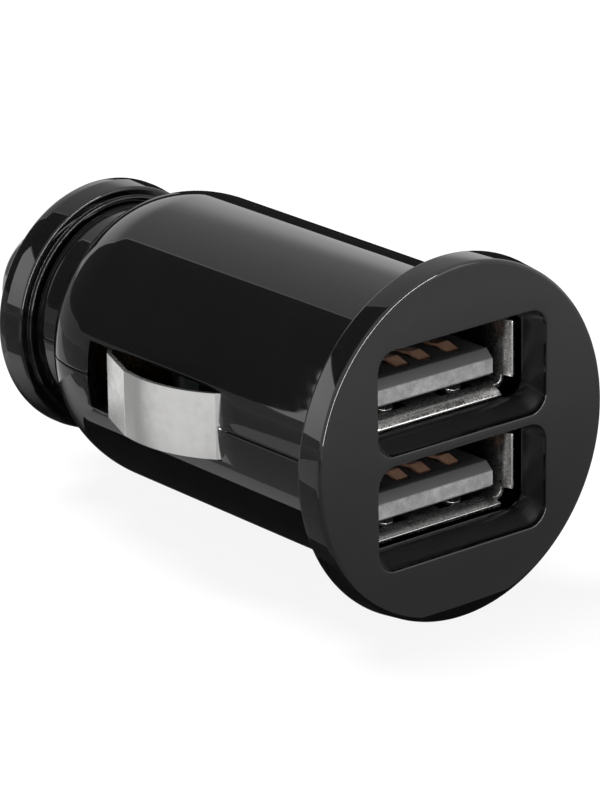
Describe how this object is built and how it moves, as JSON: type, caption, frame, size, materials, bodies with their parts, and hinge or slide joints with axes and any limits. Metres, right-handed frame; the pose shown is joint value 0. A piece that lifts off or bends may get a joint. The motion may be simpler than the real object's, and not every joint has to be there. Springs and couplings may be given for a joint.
{
  "type": "car usb charger",
  "caption": "Compact car socket charger with two stacked USB-A ports, side ground springs and a sprung tip contact.",
  "frame": {"origin": "on the barrel's axis, where the barrel meets the flange's rear face", "axes": "+Y along the barrel to the nose, +Z from the lower port to the upper one, +X across the ports"},
  "size_m": [0.0252, 0.0471, 0.0252],
  "materials": {
    "gloss_black": "polished moulded plastic",
    "nickel": "satin nickel plate",
    "spring_steel": "drawn wire",
    "brass": "tinned brass strip",
    "black_insulator": "matt moulded plastic",
    "copper": "copper alloy",
    "board": "green board lacquer",
    "ferrite": "fired ferrite",
    "can": "sleeved can",
    "chip": "moulded package"
  },
  "bodies": {
    "housing": {"bezel": "gloss_black", "upper_shell": "gloss_black", "lower_shell": "gloss_black", "nose_ring": "gloss_black", "tip_spring": "spring_steel", "tip_terminal": "brass", "ground_strap_left": "brass", "ground_strap_right": "brass", "usb_shell_upper": "nickel", "usb_shell_lower": "nickel", "usb_housing_upper": "black_insulator", "usb_housing_lower": "black_insulator", "contact_upper_power": "copper", "contact_upper_minus": "copper", "contact_upper_plus": "copper", "contact_upper_ground": "copper", "contact_lower_power": "copper", "contact_lower_minus": "copper", "contact_lower_plus": "copper", "contact_lower_ground": "copper", "port_board": "board", "main_board": "board", "board_header": "black_insulator", "inductor_core": "ferrite", "inductor_coil": "copper", "input_capacitor": "can", "output_capacitor": "can", "regulator_chip": "chip", "charge_chip": "chip", "rectifier_diode": "chip", "resettable_fuse": "chip", "chip_capacitors": "chip"},
    "tip": {"tip_contact": "nickel"},
    "ground_left": {"ground_spring_left": "nickel"},
    "ground_right": {"ground_spring_right": "nickel"}
  },
  "joints": [
    {"name": "tip_press", "type": "slide", "parent": "housing", "child": "tip", "axis": [0, -1, 0], "range_m": [0, 0.002], "stiffness_N_per_m": 1500, "springref_m": -0.002, "deforming": ["tip_spring"]},
    {"name": "ground_left", "type": "hinge", "parent": "housing", "child": "ground_left", "pos_m": [-0.0089, 0.0088, 0], "axis": [0, 0, -1], "range_deg": [0, 18], "stiffness_Nm_per_rad": 0.12, "springref_deg": -2.86},
    {"name": "ground_right", "type": "hinge", "parent": "housing", "child": "ground_right", "pos_m": [0.0089, 0.0088, 0], "axis": [0, 0, 1], "range_deg": [0, 18], "stiffness_Nm_per_rad": 0.12, "springref_deg": -2.86}
  ]
}
